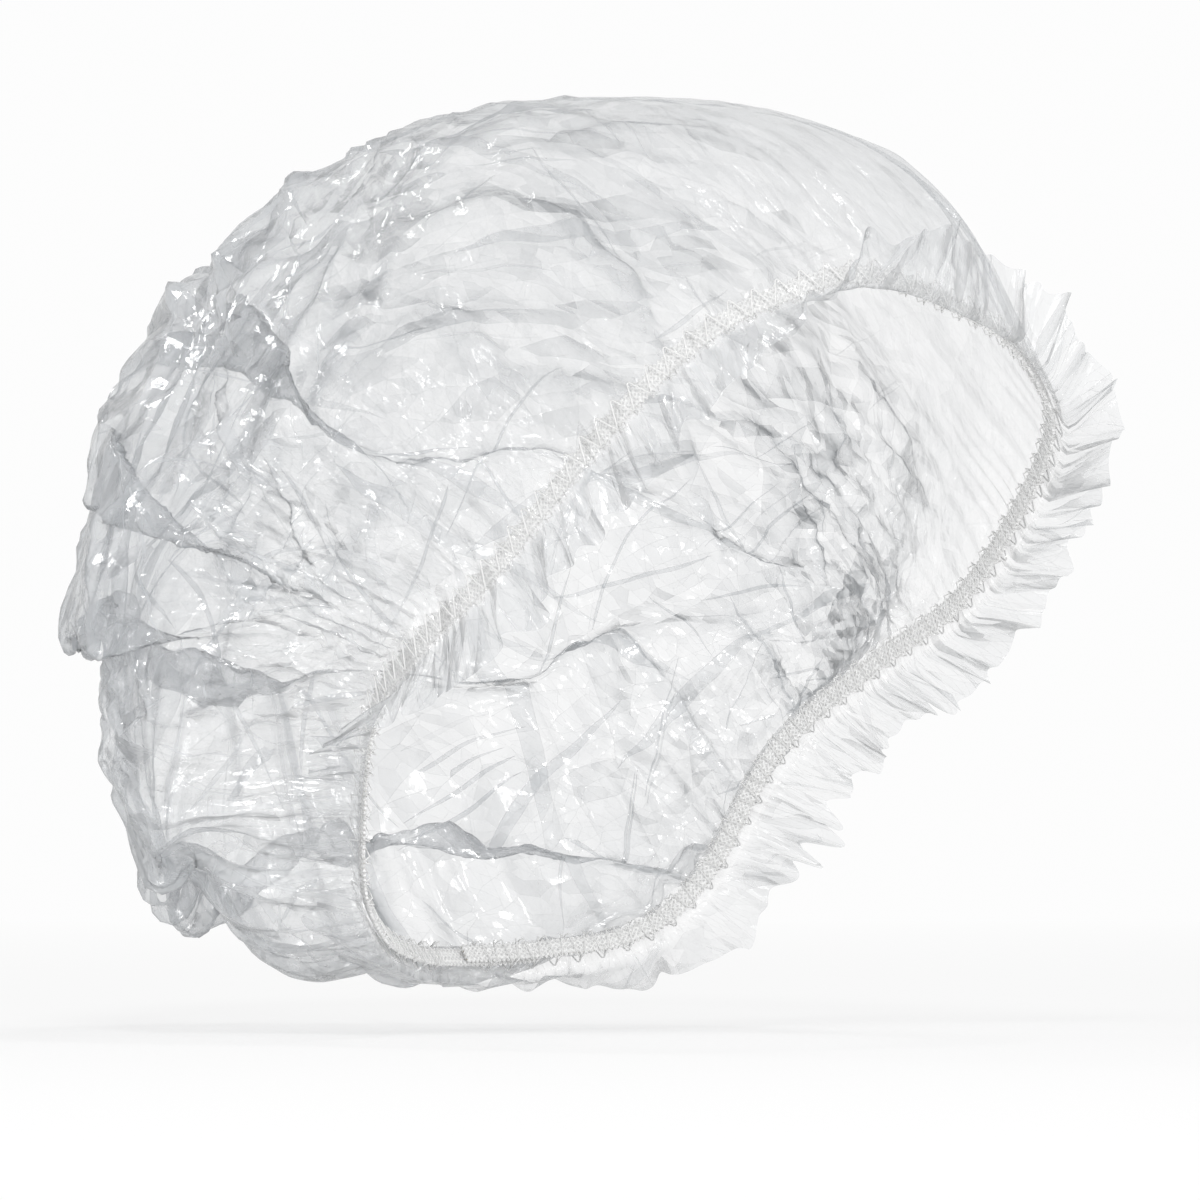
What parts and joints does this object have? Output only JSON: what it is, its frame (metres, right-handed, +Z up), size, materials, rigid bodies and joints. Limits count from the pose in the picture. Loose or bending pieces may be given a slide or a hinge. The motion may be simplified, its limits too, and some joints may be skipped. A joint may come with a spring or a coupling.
{
  "type": "shower cap",
  "caption": "Clear film shower cap in its worn shape, gathered on a narrow white elastic with a free film frill.",
  "frame": {"origin": "middle of the elastic opening, where the head stands in it", "axes": "+Z up as worn, -Y towards the forehead, +X towards the wearer's left"},
  "size_m": [0.2122, 0.2842, 0.2221],
  "materials": {
    "film": "clear, creased, glossy film",
    "braid": "white braided yarn",
    "rubber": "natural rubber strand",
    "thread": "white sewing thread"
  },
  "bodies": {
    "root": {"film_sheet": "film", "elastic_braid": "braid", "rubber_core_1": "rubber", "rubber_core_2": "rubber", "rubber_core_3": "rubber", "rubber_core_4": "rubber", "needle_thread": "thread", "looper_thread": "thread"}
  },
  "joints": []
}
